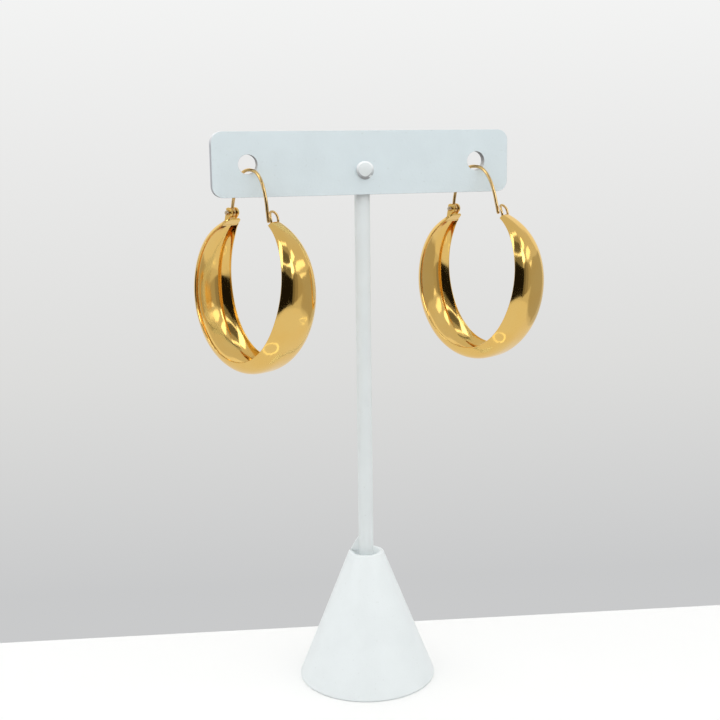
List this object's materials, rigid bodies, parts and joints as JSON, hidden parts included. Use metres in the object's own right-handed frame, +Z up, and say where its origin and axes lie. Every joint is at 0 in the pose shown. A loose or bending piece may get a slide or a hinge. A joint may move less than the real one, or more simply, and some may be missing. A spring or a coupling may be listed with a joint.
{
  "type": "pair of hoop earrings on a T-bar display stand",
  "caption": "Wide domed gold hoop earrings with hinged ear wires, hung through the holes of a white T-bar display stand with a conical base.",
  "frame": {"origin": "centre of the stand's flat bottom, on the table", "axes": "+Z up the pole, X along the cross bar, the bar's front face looks along -Y"},
  "size_m": [0.0837, 0.0388, 0.1424],
  "materials": {
    "white_stand": "satin",
    "gold": "polished",
    "gold_wire": "polished"
  },
  "bodies": {
    "stand_and_hoops": {"stand_cone": "white_stand", "stand_pole": "white_stand", "cross_bar": "white_stand", "bar_rivet": "white_stand", "left_hoop": "gold", "left_hinge_pin": "gold_wire", "right_hoop": "gold", "right_hinge_pin": "gold_wire"},
    "left_wire": {"left_ear_wire": "gold_wire"},
    "right_wire": {"right_ear_wire": "gold_wire"}
  },
  "joints": [
    {"name": "left_wire_hinge", "type": "hinge", "parent": "stand_and_hoops", "child": "left_wire", "pos_m": [-0.03213, 0.00368, 0.12307], "axis": [-0.8829, -0.4695, 0], "range_deg": [0, 80]},
    {"name": "right_wire_hinge", "type": "hinge", "parent": "stand_and_hoops", "child": "right_wire", "pos_m": [0.02641, 0.00428, 0.1224], "axis": [-0.8949, -0.4462, 0], "range_deg": [0, 80]}
  ]
}
